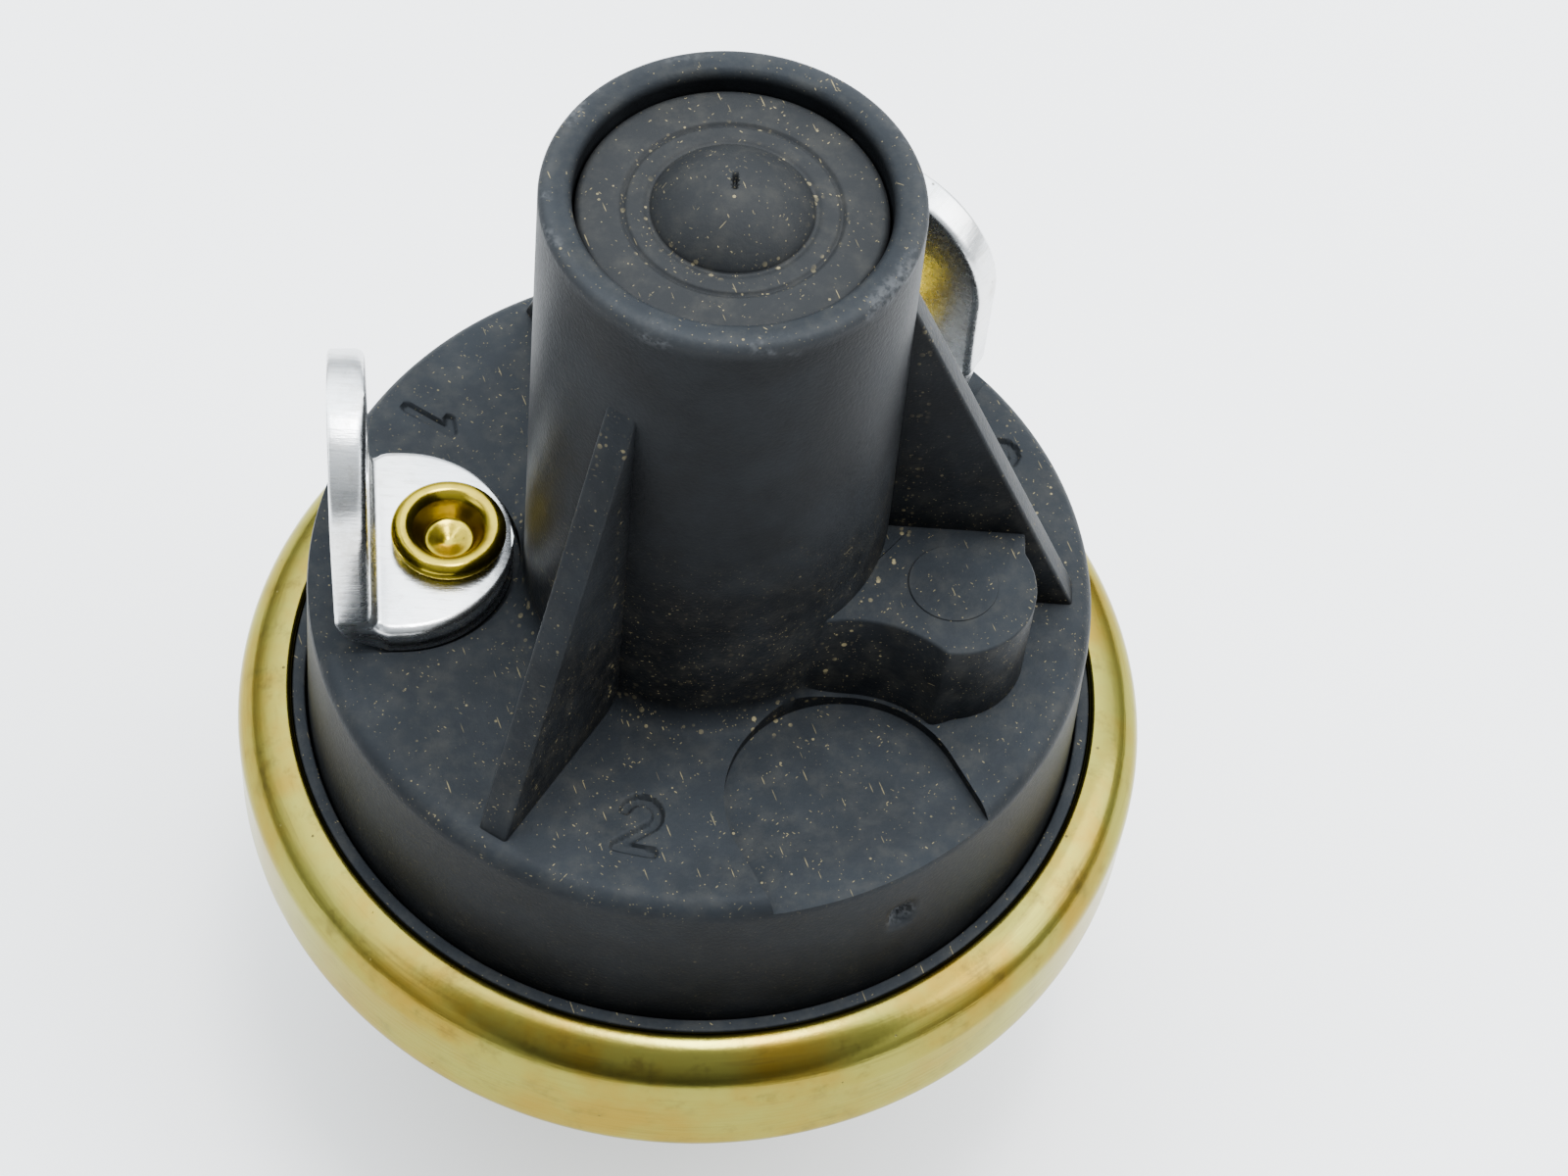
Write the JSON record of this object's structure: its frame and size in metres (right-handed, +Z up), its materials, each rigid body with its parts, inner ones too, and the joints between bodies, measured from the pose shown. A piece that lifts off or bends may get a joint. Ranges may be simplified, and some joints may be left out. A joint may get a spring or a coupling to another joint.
{
  "type": "diaphragm pressure switch",
  "caption": "Crimped diaphragm pressure switch: black moulded cover with a ribbed spring tower, upright screw-terminal tabs on brass rivets, rolled gold-plated shell, hexagon and tapered port.",
  "frame": {"origin": "centre of the port's end face, at the bottom of the switch", "axes": "+Z runs up the switch's own axis to the plug; +X runs through one of the ribs; the common terminal is at -X"},
  "size_m": [0.043, 0.043, 0.0596],
  "materials": {
    "black_moulding": "satin black moulding with a fine grain",
    "rubber": "dull dark grey rubber",
    "diaphragm": "brown-black flexible sheet",
    "gold_steel": "yellow passivated zinc plating on drawn steel",
    "bright_steel": "bright plating on stamped steel",
    "brass": "bright yellow brass",
    "silvered_copper": "silver-faced copper alloy",
    "spring_steel": "grey spring wire",
    "nylon": "natural off-white moulding"
  },
  "bodies": {
    "housing": {"base_fitting": "gold_steel", "base_seal": "rubber", "crimp_shell": "gold_steel", "diaphragm": "diaphragm", "clamp_ring": "bright_steel", "cover": "black_moulding", "terminal_common": "bright_steel", "terminal_open": "bright_steel", "rivet_common": "brass", "rivet_open": "brass", "range_spring": "spring_steel"},
    "moving_contact": {"piston_plate": "bright_steel", "plunger": "nylon", "contact_spring": "spring_steel", "contact_disc": "silvered_copper", "contact_clip": "spring_steel", "lower_spring_seat": "bright_steel"},
    "spring_seat": {"upper_spring_seat": "bright_steel"},
    "adjuster": {"adjusting_screw": "brass"},
    "plug": {"tower_plug": "rubber"}
  },
  "joints": [
    {"name": "pressure_stroke", "type": "slide", "parent": "housing", "child": "moving_contact", "axis": [0, 0, 1], "range_m": [0, 0.0008], "stiffness_N_per_m": 3000, "springref_m": -0.0015, "deforming": ["range_spring"]},
    {"name": "adjuster_travel", "type": "slide", "parent": "housing", "child": "spring_seat", "axis": [0, 0, 1], "range_m": [-0.002, 0.002], "deforming": ["range_spring"]},
    {"name": "adjuster_turn", "type": "hinge", "parent": "spring_seat", "child": "adjuster", "pos_m": [0, 0, 0.0493], "axis": [0, 0, 1], "range_deg": [-482, 482]},
    {"name": "plug_pull", "type": "slide", "parent": "housing", "child": "plug", "axis": [0, 0, 1], "range_m": [0, 0.02]}
  ],
  "couplings": [
    {"joint": "adjuster_turn", "follows": "adjuster_travel", "rad_per_m": 4188.8}
  ]
}
